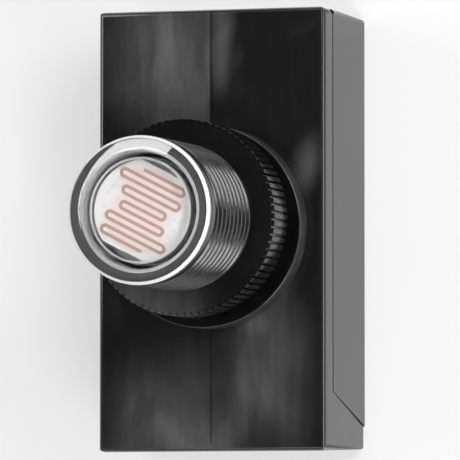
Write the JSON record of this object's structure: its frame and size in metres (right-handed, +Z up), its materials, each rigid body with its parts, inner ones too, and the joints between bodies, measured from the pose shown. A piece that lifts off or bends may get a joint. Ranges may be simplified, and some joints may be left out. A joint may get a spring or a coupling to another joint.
{
  "type": "photocell switch",
  "caption": "Black box with a threaded stem, a clear lens over a light-sensitive cell at its end, and a knurled lock nut and washer; switches a lamp by daylight.",
  "frame": {"origin": "middle of the box's footprint on the plane of its flat back", "axes": "+Z up along the stem, away from the box; +Y along the box's long side; +X across it"},
  "size_m": [0.0296, 0.0544, 0.045],
  "materials": {
    "housing_plastic": "glossy moulded black plastic",
    "clear_lens": "clear polished plastic",
    "nut_plastic": "satin moulded black plastic",
    "washer_rubber": "smooth black rubber",
    "cell_ceramic": "white glazed disc",
    "track_film": "dull pink-brown film",
    "holder_plastic": "satin grey plastic",
    "tinned_wire": "tinned",
    "sleeve_plastic": "matt",
    "board_laminate": "satin laminate",
    "relay_case": "satin",
    "film_case": "satin",
    "can_sleeve": "gloss",
    "varistor_coat": "dipped",
    "diode_case": "moulded",
    "zener_glass": "gloss",
    "resistor_coat": "dipped",
    "eyelet_brass": "plain"
  },
  "bodies": {
    "root": {"housing": "housing_plastic", "rear_cover": "housing_plastic", "lens_cap": "clear_lens", "lock_nut": "nut_plastic", "sealing_washer": "washer_rubber", "cell_disc": "cell_ceramic", "cell_track": "track_film", "cell_holder": "holder_plastic", "cell_leads": "tinned_wire", "lead_sleeves": "sleeve_plastic", "circuit_board": "board_laminate", "relay": "relay_case", "film_capacitor": "film_case", "smoothing_capacitor": "can_sleeve", "varistor": "varistor_coat", "rectifier_diodes": "diode_case", "zener_diode": "zener_glass", "resistors": "resistor_coat", "transistor": "diode_case", "wire_eyelets": "eyelet_brass"}
  },
  "joints": []
}
